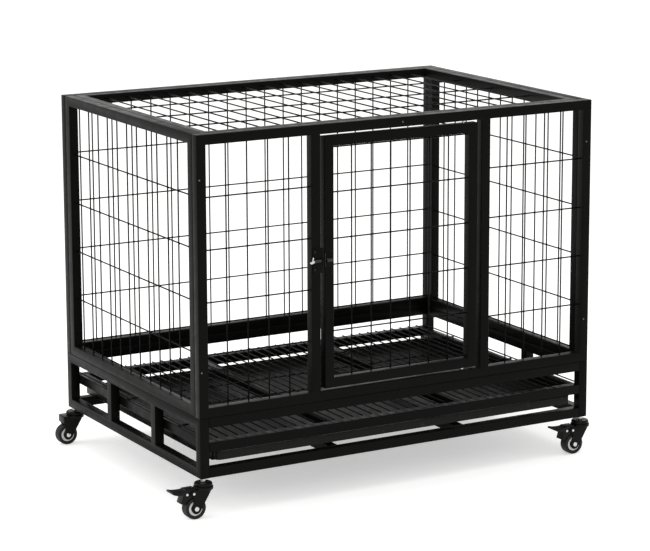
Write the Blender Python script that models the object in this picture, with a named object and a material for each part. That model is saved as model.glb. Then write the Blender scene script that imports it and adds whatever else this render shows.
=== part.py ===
"""A dog cage on casters: a square-tube frame with welded wire walls, a wire floor over a pull-out tray,
a hinged front door with a sliding bolt, and four swivel casters, of which the front two have brakes.

Metres, +Z up, +X along the length, the door faces -Y. The floor is z = 0. Run with Blender 4.5.
"""

import math

import bmesh
import bpy
from mathutils import Matrix, Vector

# Cage: outer sizes of the tube frame, without the casters
LENGTH = 1.055
DEPTH = 0.725
FRAME_HEIGHT = 0.780
BASE_HEIGHT = 0.139
TUBE = 0.023
TUBE_EDGE = 0.0011
WIRE = 0.0035
WELD_SINK = 0.0006
FIT = 0.0003
WELD_OVERLAP = 0.004

# Door in the front wall
DOOR_WIDTH = 0.410
DOOR_SIDE_GAP = 0.012
DOOR_BOTTOM_GAP = 0.005
DOOR_TOP_GAP = 0.006
HINGE_INSET = 0.034
HINGE_PIN_RADIUS = 0.0033
HINGE_COLLAR_RADIUS = 0.0053
HINGE_PIN_DEPTH = 0.012

# Wire walls: how many wires divide each opening
BAY_UPRIGHT_WIRES = 4
DOOR_UPRIGHT_WIRES = 6
SIDE_UPRIGHT_WIRES = 11
BACK_UPRIGHT_WIRES = 18
WALL_CROSS_WIRES = 4
TOP_LENGTH_WIRES = 3
TOP_DEPTH_WIRES = 17
SIDE_WIRE_SHIFT = 0.015
END_WIRE_INSET = 0.004

# Base: rails, floor bars, runners and the wire floor
MID_RAIL_Z = 0.059
UPRIGHT_Y = 0.120
RUNNER_X = 0.1725
FLOOR_PITCH = 0.0251
FLOOR_CROSS_WIRES = 4
FLOOR_SIDE_GAP = 0.001
FLOOR_OVERHANG = 0.010

# Tray and the angles that it slides on
TRAY_END_GAP = 0.0205
TRAY_FRONT_INSET = 0.0065
TRAY_BACK_GAP = 0.006
TRAY_UNDERSIDE_Z = 0.036
TRAY_TOP_GAP = 0.0035
TRAY_WALL = 0.0015
TRAY_CORNER = 0.014
TRAY_SIDE_PLAY = 0.001
GUIDE_SHEET = 0.002
GUIDE_FOOT = 0.016

# Bolt latch at mid-height of the door
LATCH_Z = 0.4687
LATCH_SHEET = 0.0015
LATCH_PLATE_WIDTH = 0.027
LATCH_PLATE_HEIGHT = 0.058
LATCH_GUIDE_LENGTH = 0.0075
KEEPER_HEIGHT = 0.034
KEEPER_LENGTH = 0.0145
BOLT_RADIUS = 0.0035
BOLT_REACH = 0.035
BOLT_WALL = 0.0013
BOLT_HANDLE_RADIUS = 0.0030
BOLT_HANDLE_LENGTH = 0.010
BOLT_HANDLE_DROP = 0.004
BOLT_LEVER_RADIUS = 0.0016
BOLT_LEVER_X = -0.0295
BOLT_LEVER_LEAN = 0.002
BOLT_LEVER_HEIGHT = 0.0095

# Casters
CASTER_HEIGHT = 0.091
WHEEL_RADIUS = 0.0255
WHEEL_TRAIL = 0.024
TYRE_WIDTH = 0.0235
TYRE_INNER_RADIUS = 0.0175
RIM_WIDTH = 0.019
HUB_RADIUS = 0.0115
AXLE_RADIUS = 0.003
AXLE_HEAD = 0.0055
AXLE_HEAD_THICKNESS = 0.003
FORK_GAP = 0.025
FORK_SHEET = 0.0025
FORK_BOSS_RADIUS = 0.012
CHEEK_FRONT_X = 0.0167
CHEEK_BACK_X = -0.0330
CHEEK_WAIST_X = -0.0295
CHEEK_WAIST_RISE = 0.0205
CROWN_PLATE_REACH = 0.036
CROWN_PLATE_WIDTH = 0.033
CROWN_PLATE_DROP = 0.0175
CROWN_LIP_HEIGHT = 0.0175
HOUSING_RADIUS = 0.023
HOUSING_CAP_RADIUS = 0.0212
HOUSING_TOP_DROP = 0.0085
HOUSING_HEIGHT = 0.0165
HOUSING_CAP_HEIGHT = 0.0075
HOUSING_GROOVE = 0.0016
STEM_RADIUS = 0.004
STEM_LENGTH_IN_POST = 0.025
STEM_NUT_RADIUS = 0.0062
STEM_HEAD_RADIUS = 0.007
STEM_HEAD_THICKNESS = 0.0025
PEDAL_REACH = 0.084
PEDAL_WIDTH = 0.024
PEDAL_TOP_DROP = 0.018
PEDAL_TREAD_WIDTH = 0.033
PEDAL_TREAD_START = 0.040
PEDAL_TREAD_THICKNESS = 0.007
PEDAL_TREAD_DIP = 0.0034
PEDAL_PIVOT_X = -0.030
PEDAL_PIVOT_DROP = 0.030
PEDAL_BOSS_RADIUS = 0.0055
PEDAL_PIN_RADIUS = 0.002
PEDAL_PRESS_ANGLE = math.radians(8)
BRAKE_CLEARANCE = 0.0010
BRAKE_ARM = 0.0095
BRAKE_SHOE_START = math.radians(112)
BRAKE_SHOE_END = math.radians(157)

# Smoothness of round shapes
WIRE_SIDES = 6
FLOOR_WIRE_SIDES = 4
ROUND_STEPS = 12
STEM_STEPS = 8
PIN_STEPS = 8
WHEEL_STEPS = 16
PEDAL_TREAD_STEPS = 6

# The pedals reach further to -X than the housings to +X, so the frame stands off centre over the origin
FRAME_X = (PEDAL_REACH - HOUSING_RADIUS) / 2

# Places worked out from the sizes above, measured from the middle of the base frame's underside
HALF_TUBE = TUBE / 2
POST_X = LENGTH / 2 - HALF_TUBE
POST_Y = DEPTH / 2 - HALF_TUBE
INNER_X = LENGTH / 2 - TUBE
INNER_Y = DEPTH / 2 - TUBE
WALL_BOTTOM = BASE_HEIGHT + TUBE
WALL_TOP = FRAME_HEIGHT - TUBE
WALL_MIDDLE = (BASE_HEIGHT + FRAME_HEIGHT) / 2
WALL_HEIGHT = FRAME_HEIGHT - BASE_HEIGHT
STILE_X = DOOR_WIDTH / 2 + DOOR_SIDE_GAP + HALF_TUBE
DOOR_BOTTOM = WALL_BOTTOM + DOOR_BOTTOM_GAP
DOOR_TOP = WALL_TOP - DOOR_TOP_GAP
DOOR_MIDDLE = (DOOR_BOTTOM + DOOR_TOP) / 2
HINGE_X = DOOR_WIDTH / 2 - HINGE_INSET
MID_RAIL_TOP = MID_RAIL_Z + TUBE
SIDE_RAIL_X = INNER_X - HALF_TUBE
AXLE_DROP = CASTER_HEIGHT - WHEEL_RADIUS
PEDAL_TOP = PEDAL_PIVOT_DROP - PEDAL_TOP_DROP
WIRE_RADIUS = WIRE / 2
WIRE_STEP = WIRE_RADIUS - WELD_SINK / 2


def make_material(name, colour, roughness, metallic):
    material = bpy.data.materials.new(name)
    material.use_nodes = True
    surface = material.node_tree.nodes["Principled BSDF"]
    surface.inputs["Base Color"].default_value = (*colour, 1.0)
    surface.inputs["Roughness"].default_value = roughness
    surface.inputs["Metallic"].default_value = metallic
    return material


def add_object(name, shape, material, location=(0, 0, 0), parent=None):
    """Turns a bmesh into a named object, with its faces pointing out."""
    bmesh.ops.recalc_face_normals(shape, faces=shape.faces)
    mesh = bpy.data.meshes.new(name)
    shape.to_mesh(mesh)
    shape.free()
    mesh.materials.append(material)
    made = bpy.data.objects.new(name, mesh)
    made.location = location
    made.parent = parent
    bpy.context.collection.objects.link(made)
    return made


def combine(target, shape, operation):
    """Joins or cuts with a helper object, through a Boolean modifier on the target."""
    name = f"{target.name}_{operation.lower()}"
    helper = add_object(name, shape, target.active_material, target.location, target.parent)
    helper.hide_render = True
    helper.display_type = "WIRE"
    modifier = target.modifiers.new(operation.title(), "BOOLEAN")
    modifier.operation = operation
    modifier.solver = "EXACT"
    modifier.object = helper


def apply_booleans():
    """Gives each object the mesh that its Booleans make, and removes the helper objects."""
    depsgraph = bpy.context.evaluated_depsgraph_get()
    targets = [made for made in bpy.data.objects if made.modifiers]
    results = []
    for target in targets:
        results.append(bpy.data.meshes.new_from_object(target.evaluated_get(depsgraph), depsgraph=depsgraph))
    for target, mesh in zip(targets, results):
        helpers = [modifier.object for modifier in target.modifiers]
        target.modifiers.clear()
        target.data = mesh
        for helper in helpers:
            bpy.data.objects.remove(helper)


def shade_round_sides():
    """Shades shallow angles smooth and keeps the edges of boxes, prisms and thin wires sharp."""
    for made in bpy.data.objects:
        if made.type == "MESH":
            made.data.shade_smooth()
            made.data.set_sharp_from_angle(angle=math.radians(35))


def in_plane(plane, along, up, across):
    """A point of a flat panel: a front panel lies in XZ, a side panel in YZ, the top panel in XY."""
    if plane == "XZ":
        return Vector((along, across, up))
    if plane == "YZ":
        return Vector((across, along, up))
    return Vector((along, up, across))


def tube_section():
    """The rounded square section of every tube, as offsets from its centre line."""
    flat = HALF_TUBE - TUBE_EDGE
    points = []
    for side_a, side_b in ((1, 1), (-1, 1), (-1, -1), (1, -1)):
        if side_a == side_b:
            points.append((side_a * HALF_TUBE, side_b * flat))
            points.append((side_a * flat, side_b * HALF_TUBE))
        else:
            points.append((side_a * flat, side_b * HALF_TUBE))
            points.append((side_a * HALF_TUBE, side_b * flat))
    return points


def add_loops(shape, loops, closed):
    """Skins a row of equal point loops; an open row gets end caps."""
    rings = [[shape.verts.new(point) for point in loop] for loop in loops]
    count = len(rings[0])
    pairs = list(zip(rings, rings[1:]))
    if closed:
        pairs.append((rings[-1], rings[0]))
    for ring, following in pairs:
        for k in range(count):
            after = (k + 1) % count
            shape.faces.new((ring[k], ring[after], following[after], following[k]))
    if not closed:
        shape.faces.new(rings[0])
        shape.faces.new(rings[-1])


def add_tube_ring(shape, plane, width, height):
    """Four tubes mitred into a flat rectangle about the origin of its plane."""
    loops = []
    for side_u, side_v in ((-1, -1), (1, -1), (1, 1), (-1, 1)):
        corner = []
        for inward, across in tube_section():
            along = side_u * (width / 2 - HALF_TUBE - inward)
            up = side_v * (height / 2 - HALF_TUBE - inward)
            corner.append(in_plane(plane, along, up, across))
        loops.append(corner)
    add_loops(shape, loops, closed=True)


def add_bar(shape, start, end, section, first=(0, 0, 1)):
    """A straight bar with a section of (a, b) offsets: a runs along first, b square to it and to the bar."""
    start = Vector(start)
    end = Vector(end)
    along_a = Vector(first)
    along_b = (end - start).normalized().cross(along_a)
    ring = [along_a * a + along_b * b for a, b in section]
    add_loops(shape, [[start + point for point in ring], [end + point for point in ring]], closed=False)


def add_tube(shape, start, end, first=(0, 0, 1)):
    add_bar(shape, start, end, tube_section(), first)


def add_rod(shape, start, end, radius, sides, first=(0, 0, 1)):
    """A round bar as a prism whose first corner points along first."""
    turns = [2 * math.pi * k / sides for k in range(sides)]
    section = [(radius * math.cos(turn), radius * math.sin(turn)) for turn in turns]
    add_bar(shape, start, end, section, first)


def add_turned(shape, profile, steps, about="Z", flat_down=False):
    """Spins a closed profile of (radius, height) points; points with no radius close on the axis.
    With flat_down the radii are those of the flats, and a flat faces down."""
    matrix = Matrix() if about == "Z" else Matrix.Rotation(math.radians(-90), 4, "X")
    grow = 1.0
    if flat_down:
        grow = 1 / math.cos(math.pi / steps)
        matrix = Matrix.Rotation(math.pi / steps, 4, "Y") @ matrix
    corners = [shape.verts.new(matrix @ Vector((0, -radius * grow, height))) for radius, height in profile]
    edges = []
    for corner, following in zip(corners, corners[1:] + corners[:1]):
        if profile[corners.index(corner)][0] > 0 or profile[corners.index(following)][0] > 0:
            edges.append(shape.edges.new((corner, following)))
    bmesh.ops.spin(
        shape,
        geom=corners + edges,
        cent=(0, 0, 0),
        axis=matrix @ Vector((0, 0, 1)),
        angle=2 * math.pi,
        steps=steps,
        use_merge=True,
    )
    bmesh.ops.remove_doubles(shape, verts=shape.verts, dist=1e-6)


def add_outline(shape, outline, low, high, thickness_axis="Y"):
    """Extrudes an outline of (a, b) points from low to high along the given axis."""
    loops = []
    for level in (low, high):
        if thickness_axis == "Y":
            loops.append([Vector((a, level, b)) for a, b in outline])
        else:
            loops.append([Vector((level, a, b)) for a, b in outline])
    add_loops(shape, loops, closed=False)


def arc(centre, radius, start, end, steps):
    """Points on an arc, from one angle to another."""
    points = []
    for k in range(steps + 1):
        angle = start + (end - start) * k / steps
        points.append((centre[0] + radius * math.cos(angle), centre[1] + radius * math.sin(angle)))
    return points


def spread(low, high, count):
    """Places that divide a span equally, without its ends."""
    return [low + (high - low) * (k + 1) / (count + 1) for k in range(count)]


def add_wire_panel(name, plane, size, wires_u, wires_v, location, outward, parent):
    """A welded wire panel that fills an opening: upright wires lie on the outer side of the cross wires."""
    half_u = size[0] / 2 - FIT
    half_v = size[1] / 2 - FIT
    outer = outward * WIRE_STEP
    across = in_plane(plane, 0, 0, 1)
    uprights = bmesh.new()
    for along in wires_u:
        start = in_plane(plane, along, -half_v, outer)
        end = in_plane(plane, along, half_v, outer)
        add_rod(uprights, start, end, WIRE_RADIUS, WIRE_SIDES, across)
    panel = add_object(name, uprights, STEEL, location, parent)
    crossing = bmesh.new()
    for up in wires_v:
        start = in_plane(plane, -half_u, up, -outer)
        end = in_plane(plane, half_u, up, -outer)
        add_rod(crossing, start, end, WIRE_RADIUS, WIRE_SIDES, across)
    combine(panel, crossing, "UNION")
    return panel


for old in list(bpy.data.objects):
    bpy.data.objects.remove(old)

STEEL = make_material("black_coated_steel", (0.016, 0.016, 0.014), 0.3, 0.0)
TRAY_COAT = make_material("grey_coated_sheet", (0.07, 0.07, 0.066), 0.4, 0.0)
ZINC = make_material("zinc_plated_steel", (0.62, 0.62, 0.60), 0.3, 1.0)
BLACK_PLASTIC = make_material("black_plastic", (0.02, 0.02, 0.02), 0.45, 0.0)
WHITE_PLASTIC = make_material("white_plastic", (0.80, 0.80, 0.77), 0.4, 0.0)
TREAD = make_material("black_tread", (0.025, 0.025, 0.025), 0.6, 0.0)

frame_origin = bpy.data.objects.new("frame_origin", None)
frame_origin.location = (FRAME_X, 0, CASTER_HEIGHT)
bpy.context.collection.objects.link(frame_origin)


def make_wall_frame(name, plane, width, location):
    shape = bmesh.new()
    add_tube_ring(shape, plane, width, WALL_HEIGHT)
    return add_object(name, shape, STEEL, location, frame_origin)


def make_front_wall():
    """The front frame with two stiles beside the door, and bores in its rails for the hinge pins."""
    front = make_wall_frame("front_frame", "XZ", LENGTH, (0, -POST_Y, WALL_MIDDLE))
    reach = WALL_HEIGHT / 2 - TUBE + WELD_OVERLAP
    for side in (-1, 1):
        stile = bmesh.new()
        add_tube(stile, (side * STILE_X, 0, -reach), (side * STILE_X, 0, reach), (0, 1, 0))
        combine(front, stile, "UNION")
    for edge, side in ((WALL_BOTTOM, -1), (WALL_TOP, 1)):
        bore = bmesh.new()
        mouth = edge - WALL_MIDDLE
        inner_end = (HINGE_X, 0, mouth + side * (HINGE_PIN_DEPTH + FIT))
        outer_end = (HINGE_X, 0, mouth - side * DOOR_TOP_GAP / 2)
        add_rod(bore, inner_end, outer_end, HINGE_PIN_RADIUS + FIT, ROUND_STEPS, (0, 1, 0))
        combine(front, bore, "DIFFERENCE")
    bay_left = STILE_X + HALF_TUBE
    bay_width = INNER_X - bay_left
    bay_middle = (INNER_X + bay_left) / 2
    opening = WALL_TOP - WALL_BOTTOM
    for name, side in (("front_left_grid", -1), ("front_right_grid", 1)):
        add_wire_panel(
            name,
            "XZ",
            (bay_width, opening),
            spread(-bay_width / 2, bay_width / 2, BAY_UPRIGHT_WIRES),
            spread(-opening / 2, opening / 2, WALL_CROSS_WIRES),
            (side * bay_middle, -POST_Y, WALL_MIDDLE),
            -1,
            frame_origin,
        )


def make_back_wall():
    location = (0, POST_Y, WALL_MIDDLE)
    make_wall_frame("back_frame", "XZ", LENGTH, location)
    opening = WALL_TOP - WALL_BOTTOM
    add_wire_panel(
        "back_grid",
        "XZ",
        (2 * INNER_X, opening),
        spread(-INNER_X, INNER_X, BACK_UPRIGHT_WIRES),
        [END_WIRE_INSET - opening / 2, *spread(-opening / 2, opening / 2, WALL_CROSS_WIRES)],
        location,
        1,
        frame_origin,
    )


def make_side_walls():
    """The side frames stand between the front and back frames."""
    width = 2 * (INNER_Y - FIT)
    clear = width - 2 * TUBE
    opening = WALL_TOP - WALL_BOTTOM
    for name, side in (("left", -1), ("right", 1)):
        location = (side * POST_X, 0, WALL_MIDDLE)
        make_wall_frame(f"{name}_frame", "YZ", width, location)
        wires = [along + SIDE_WIRE_SHIFT for along in spread(-clear / 2, clear / 2, SIDE_UPRIGHT_WIRES)]
        add_wire_panel(
            f"{name}_grid",
            "YZ",
            (clear, opening),
            wires,
            spread(-opening / 2, opening / 2, WALL_CROSS_WIRES),
            location,
            side,
            frame_origin,
        )


def make_top():
    """The top frame nests inside the four wall frames, flush with them."""
    location = (0, 0, FRAME_HEIGHT - HALF_TUBE)
    width = 2 * (INNER_X - FIT)
    depth = 2 * (INNER_Y - FIT)
    shape = bmesh.new()
    add_tube_ring(shape, "XY", width, depth)
    add_object("top_frame", shape, STEEL, location, frame_origin)
    clear_x = width - 2 * TUBE
    clear_y = depth - 2 * TUBE
    add_wire_panel(
        "top_grid",
        "XY",
        (clear_x, clear_y),
        spread(-clear_x / 2, clear_x / 2, TOP_DEPTH_WIRES),
        spread(-clear_y / 2, clear_y / 2, TOP_LENGTH_WIRES),
        location,
        1,
        frame_origin,
    )


def make_base():
    """End frames with the corner posts, the long rails between them, and the bars that carry the floor."""
    for name, side in (("left", -1), ("right", 1)):
        shape = bmesh.new()
        add_tube_ring(shape, "YZ", DEPTH, BASE_HEIGHT)
        location = (side * POST_X, 0, BASE_HEIGHT / 2)
        end_frame = add_object(f"base_{name}_end_frame", shape, STEEL, location, frame_origin)
        reach = BASE_HEIGHT / 2 - TUBE + WELD_OVERLAP
        for place in (-UPRIGHT_Y, UPRIGHT_Y):
            upright = bmesh.new()
            add_tube(upright, (0, place, -reach), (0, place, reach), (0, 1, 0))
            combine(end_frame, upright, "UNION")
        for place in (-POST_Y, POST_Y):
            bore = bmesh.new()
            top = -BASE_HEIGHT / 2 + STEM_LENGTH_IN_POST + FIT
            mouth = -BASE_HEIGHT / 2 - WELD_OVERLAP
            add_rod(bore, (0, place, top), (0, place, mouth), STEM_RADIUS + FIT, STEM_STEPS, (0, 1, 0))
            combine(end_frame, bore, "DIFFERENCE")
    levels = (("bottom", HALF_TUBE), ("mid", MID_RAIL_Z + HALF_TUBE), ("top", BASE_HEIGHT - HALF_TUBE))
    rail = INNER_X - FIT
    for name, side in (("front", -1), ("back", 1)):
        for level, height in levels:
            shape = bmesh.new()
            add_tube(shape, (-rail, 0, 0), (rail, 0, 0))
            add_object(f"base_{name}_{level}_rail", shape, STEEL, (0, side * POST_Y, height), frame_origin)
    bar = INNER_Y - FIT
    cross_bars = (
        ("base_left_mid_rail", -SIDE_RAIL_X + FIT, MID_RAIL_Z + HALF_TUBE),
        ("base_right_mid_rail", SIDE_RAIL_X - FIT, MID_RAIL_Z + HALF_TUBE),
        ("left_floor_bar", -RUNNER_X, MID_RAIL_Z + HALF_TUBE),
        ("right_floor_bar", RUNNER_X, MID_RAIL_Z + HALF_TUBE),
        ("left_runner", -RUNNER_X, HALF_TUBE),
        ("right_runner", RUNNER_X, HALF_TUBE),
    )
    for name, place, height in cross_bars:
        shape = bmesh.new()
        add_tube(shape, (0, -bar, 0), (0, bar, 0))
        add_object(name, shape, STEEL, (place, 0, height), frame_origin)


def make_floor():
    """Close wires along Y over a few cross wires, which rest on the side rails and the floor bars."""
    half_x = INNER_X - FLOOR_SIDE_GAP
    half_y = INNER_Y + FLOOR_OVERHANG
    gaps = round(2 * (half_x - WIRE_RADIUS) / FLOOR_PITCH)
    outer_wire = half_x - WIRE_RADIUS
    top_wires = bmesh.new()
    for k in range(gaps + 1):
        place = outer_wire * (2 * k / gaps - 1)
        add_rod(top_wires, (place, -half_y, WIRE_STEP), (place, half_y, WIRE_STEP), WIRE_RADIUS, FLOOR_WIRE_SIDES)
    height = MID_RAIL_TOP + FIT + WIRE_STEP + WIRE_RADIUS
    floor_grate = add_object("floor_grate", top_wires, STEEL, (0, 0, height), frame_origin)
    cross_wires = bmesh.new()
    for place in spread(-INNER_Y, INNER_Y, FLOOR_CROSS_WIRES):
        start = (-half_x, place, -WIRE_STEP)
        add_rod(cross_wires, start, (half_x, place, -WIRE_STEP), WIRE_RADIUS, FLOOR_WIRE_SIDES)
    combine(floor_grate, cross_wires, "UNION")


def rounded_rectangle(half_a, half_b, radius):
    points = []
    for side_a, side_b, start in ((1, 1, 0), (-1, 1, 90), (-1, -1, 180), (1, -1, 270)):
        centre = (side_a * (half_a - radius), side_b * (half_b - radius))
        points += arc(centre, radius, math.radians(start), math.radians(start + 90), 4)
    return points


def make_tray():
    """A folded sheet tray with round corners, and the angles under the side rails that carry it."""
    tray_top = MID_RAIL_Z - TRAY_TOP_GAP
    front = -DEPTH / 2 + TRAY_FRONT_INSET
    back = INNER_Y - TRAY_BACK_GAP
    half_y = (back - front) / 2
    half_x = INNER_X - TRAY_END_GAP
    outer = rounded_rectangle(half_x, half_y, TRAY_CORNER)
    inner = rounded_rectangle(half_x - TRAY_WALL, half_y - TRAY_WALL, TRAY_CORNER - TRAY_WALL)
    depth = tray_top - TRAY_UNDERSIDE_Z
    levels = ((outer, 0), (outer, depth), (inner, depth), (inner, TRAY_WALL))
    shape = bmesh.new()
    add_loops(shape, [[Vector((a, b, level)) for a, b in outline] for outline, level in levels], closed=False)
    add_object("tray", shape, TRAY_COAT, (0, (front + back) / 2, TRAY_UNDERSIDE_Z), frame_origin)
    # The angle: a foot below the tray's edge and a leg that rises beside it to the rail
    leg_inner = half_x + TRAY_SIDE_PLAY
    foot_top = TRAY_UNDERSIDE_Z - FIT
    leg_top = MID_RAIL_Z - FIT
    for name, side in (("left_tray_guide", -1), ("right_tray_guide", 1)):
        angle_section = [
            (leg_inner - GUIDE_FOOT, foot_top - GUIDE_SHEET),
            (leg_inner + GUIDE_SHEET, foot_top - GUIDE_SHEET),
            (leg_inner + GUIDE_SHEET, leg_top),
            (leg_inner, leg_top),
            (leg_inner, foot_top),
            (leg_inner - GUIDE_FOOT, foot_top),
        ]
        guide = bmesh.new()
        add_outline(guide, [(side * a, b) for a, b in angle_section], -INNER_Y + FIT, INNER_Y - FIT)
        add_object(name, guide, STEEL, (0, 0, 0), frame_origin)


def make_door():
    """The door turns about pins in its rails, set in from its edge; its origin lies on that axis."""
    hinge = bpy.data.objects.new("door_hinge", None)
    hinge.location = (HINGE_X, -POST_Y, DOOR_MIDDLE)
    hinge.parent = frame_origin
    bpy.context.collection.objects.link(hinge)
    height = DOOR_TOP - DOOR_BOTTOM
    middle = -HINGE_X
    shape = bmesh.new()
    add_tube_ring(shape, "XZ", DOOR_WIDTH, height)
    bmesh.ops.translate(shape, verts=shape.verts, vec=(middle, 0, 0))
    door = add_object("door_frame", shape, STEEL, (0, 0, 0), hinge)
    for side in (-1, 1):
        bore = bmesh.new()
        inner_end = (0, 0, side * (height / 2 - HINGE_PIN_DEPTH - FIT))
        mouth = (0, 0, side * (height / 2 + DOOR_TOP_GAP))
        add_rod(bore, inner_end, mouth, HINGE_PIN_RADIUS + FIT, ROUND_STEPS, (0, 1, 0))
        combine(door, bore, "DIFFERENCE")
    clear_x = DOOR_WIDTH - 2 * TUBE
    clear_z = height - 2 * TUBE
    end_wire = clear_z / 2 - END_WIRE_INSET
    crossings = [-end_wire, *spread(-clear_z / 2, clear_z / 2, WALL_CROSS_WIRES), end_wire]
    add_wire_panel(
        "door_grid",
        "XZ",
        (clear_x, clear_z),
        spread(-clear_x / 2, clear_x / 2, DOOR_UPRIGHT_WIRES),
        crossings,
        (middle, 0, 0),
        -1,
        hinge,
    )
    # The lower pin has a collar, and the door's weight rests on it
    lower = bmesh.new()
    collar_low = WALL_BOTTOM + FIT
    collar_high = DOOR_BOTTOM - FIT
    lower_profile = [
        (0, collar_low - HINGE_PIN_DEPTH),
        (HINGE_PIN_RADIUS, collar_low - HINGE_PIN_DEPTH),
        (HINGE_PIN_RADIUS, collar_low),
        (HINGE_COLLAR_RADIUS, collar_low),
        (HINGE_COLLAR_RADIUS, collar_high),
        (HINGE_PIN_RADIUS, collar_high),
        (HINGE_PIN_RADIUS, collar_high + HINGE_PIN_DEPTH),
        (0, collar_high + HINGE_PIN_DEPTH),
    ]
    add_turned(lower, lower_profile, ROUND_STEPS)
    add_object("lower_hinge_pin", lower, ZINC, (HINGE_X, -POST_Y, 0), frame_origin)
    upper = bmesh.new()
    pin_low = (0, 0, DOOR_TOP - HINGE_PIN_DEPTH)
    pin_high = (0, 0, WALL_TOP + HINGE_PIN_DEPTH)
    add_rod(upper, pin_low, pin_high, HINGE_PIN_RADIUS, ROUND_STEPS, (0, 1, 0))
    add_object("upper_hinge_pin", upper, ZINC, (HINGE_X, -POST_Y, 0), frame_origin)
    return hinge


def saddle(half_height):
    """A half-round loop that stands on its sheet: Y and Z of a section that is wrapped round the bolt."""
    centre_y = -(LATCH_SHEET + FIT + BOLT_RADIUS)
    outer = BOLT_RADIUS + FIT + BOLT_WALL
    sheet = [(0, half_height), (0, -half_height), (-LATCH_SHEET, -half_height), (-LATCH_SHEET, -outer)]
    loop = arc((centre_y, 0), outer, math.radians(270), math.radians(90), 8)
    return [*sheet, *loop, (-LATCH_SHEET, outer), (-LATCH_SHEET, half_height)]


def add_bolt_bore(target, low, high):
    centre_y = -(LATCH_SHEET + FIT + BOLT_RADIUS)
    bore = bmesh.new()
    add_rod(bore, (low, centre_y, 0), (high, centre_y, 0), BOLT_RADIUS + FIT * 0.9, ROUND_STEPS)
    combine(target, bore, "DIFFERENCE")


def make_latch(hinge):
    """A barrel bolt: a plate and guide on the stile, a keeper on the door, and the bolt, drawn back."""
    face_y = -DEPTH / 2 - FIT
    plate_right = -DOOR_WIDTH / 2 - DOOR_SIDE_GAP / 2
    plate = bmesh.new()
    half_height = LATCH_PLATE_HEIGHT / 2
    outline = [(0, -half_height), (-LATCH_SHEET, -half_height), (-LATCH_SHEET, half_height), (0, half_height)]
    add_outline(plate, outline, -LATCH_PLATE_WIDTH, 0, "X")
    latch_plate = add_object("latch_plate", plate, STEEL, (plate_right, face_y, LATCH_Z), frame_origin)
    guide = bmesh.new()
    add_outline(guide, saddle(half_height - TUBE_EDGE), -LATCH_GUIDE_LENGTH, -FIT, "X")
    combine(latch_plate, guide, "UNION")
    add_bolt_bore(latch_plate, -LATCH_PLATE_WIDTH, WELD_OVERLAP)
    keeper_left = -DOOR_WIDTH / 2 + FIT
    keeper = bmesh.new()
    add_outline(keeper, saddle(KEEPER_HEIGHT / 2), 0, KEEPER_LENGTH, "X")
    keeper_place = (keeper_left - HINGE_X, -HALF_TUBE - FIT, LATCH_Z - DOOR_MIDDLE)
    latch_keeper = add_object("latch_keeper", keeper, STEEL, keeper_place, hinge)
    add_bolt_bore(latch_keeper, -WELD_OVERLAP, KEEPER_LENGTH + WELD_OVERLAP)
    bolt = bmesh.new()
    straight = BOLT_REACH - BOLT_HANDLE_LENGTH
    add_rod(bolt, (-straight, 0, 0), (0, 0, 0), BOLT_RADIUS, ROUND_STEPS)
    bolt_y = face_y - LATCH_SHEET - FIT - BOLT_RADIUS
    latch_bolt = add_object("latch_bolt", bolt, ZINC, (plate_right - FIT, bolt_y, LATCH_Z), frame_origin)
    handle = bmesh.new()
    elbow = (BOLT_HANDLE_RADIUS - straight, 0, 0)
    tip = (-BOLT_REACH, 0, -BOLT_HANDLE_DROP)
    add_rod(handle, elbow, tip, BOLT_HANDLE_RADIUS, ROUND_STEPS, (0, 1, 0))
    combine(latch_bolt, handle, "UNION")
    lever = bmesh.new()
    lever_top = (BOLT_LEVER_X + BOLT_LEVER_LEAN, 0, BOLT_LEVER_HEIGHT)
    lever_foot = (BOLT_LEVER_X, 0, -BOLT_HANDLE_DROP / 2)
    add_rod(lever, lever_foot, lever_top, BOLT_LEVER_RADIUS, PIN_STEPS, (0, 1, 0))
    combine(latch_bolt, lever, "UNION")


def stem_shape():
    """The threaded stem with its nut above the housing and its riveted head below it."""
    shape = bmesh.new()
    head_top = -HOUSING_TOP_DROP - HOUSING_HEIGHT - FIT
    profile = [
        (0, STEM_LENGTH_IN_POST),
        (STEM_RADIUS, STEM_LENGTH_IN_POST),
        (STEM_RADIUS, head_top),
        (STEM_HEAD_RADIUS, head_top),
        (STEM_HEAD_RADIUS, head_top - STEM_HEAD_THICKNESS),
        (0, head_top - STEM_HEAD_THICKNESS),
    ]
    add_turned(shape, profile, STEM_STEPS)
    return shape


def nut_shape():
    shape = bmesh.new()
    add_rod(shape, (0, 0, -FIT), (0, 0, -HOUSING_TOP_DROP + FIT), STEM_NUT_RADIUS, 6, (1, 0, 0))
    return shape


def housing_shape():
    """The swivel bearing housing, bored for the stem: a cap with a rounded edge over a wider race."""
    shape = bmesh.new()
    top = -HOUSING_TOP_DROP
    bottom = top - HOUSING_HEIGHT
    bore = STEM_RADIUS + FIT
    seam = top - HOUSING_CAP_HEIGHT
    profile = [
        (bore, top),
        (HOUSING_CAP_RADIUS - HOUSING_GROOVE * 1.5, top),
        (HOUSING_CAP_RADIUS, top - HOUSING_GROOVE),
        (HOUSING_CAP_RADIUS, seam),
        (HOUSING_CAP_RADIUS - HOUSING_GROOVE, seam - HOUSING_GROOVE / 2),
        (HOUSING_RADIUS, seam - HOUSING_GROOVE * 1.5),
        (HOUSING_RADIUS, bottom),
        (bore, bottom),
    ]
    add_turned(shape, profile, WHEEL_STEPS)
    return shape


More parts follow.
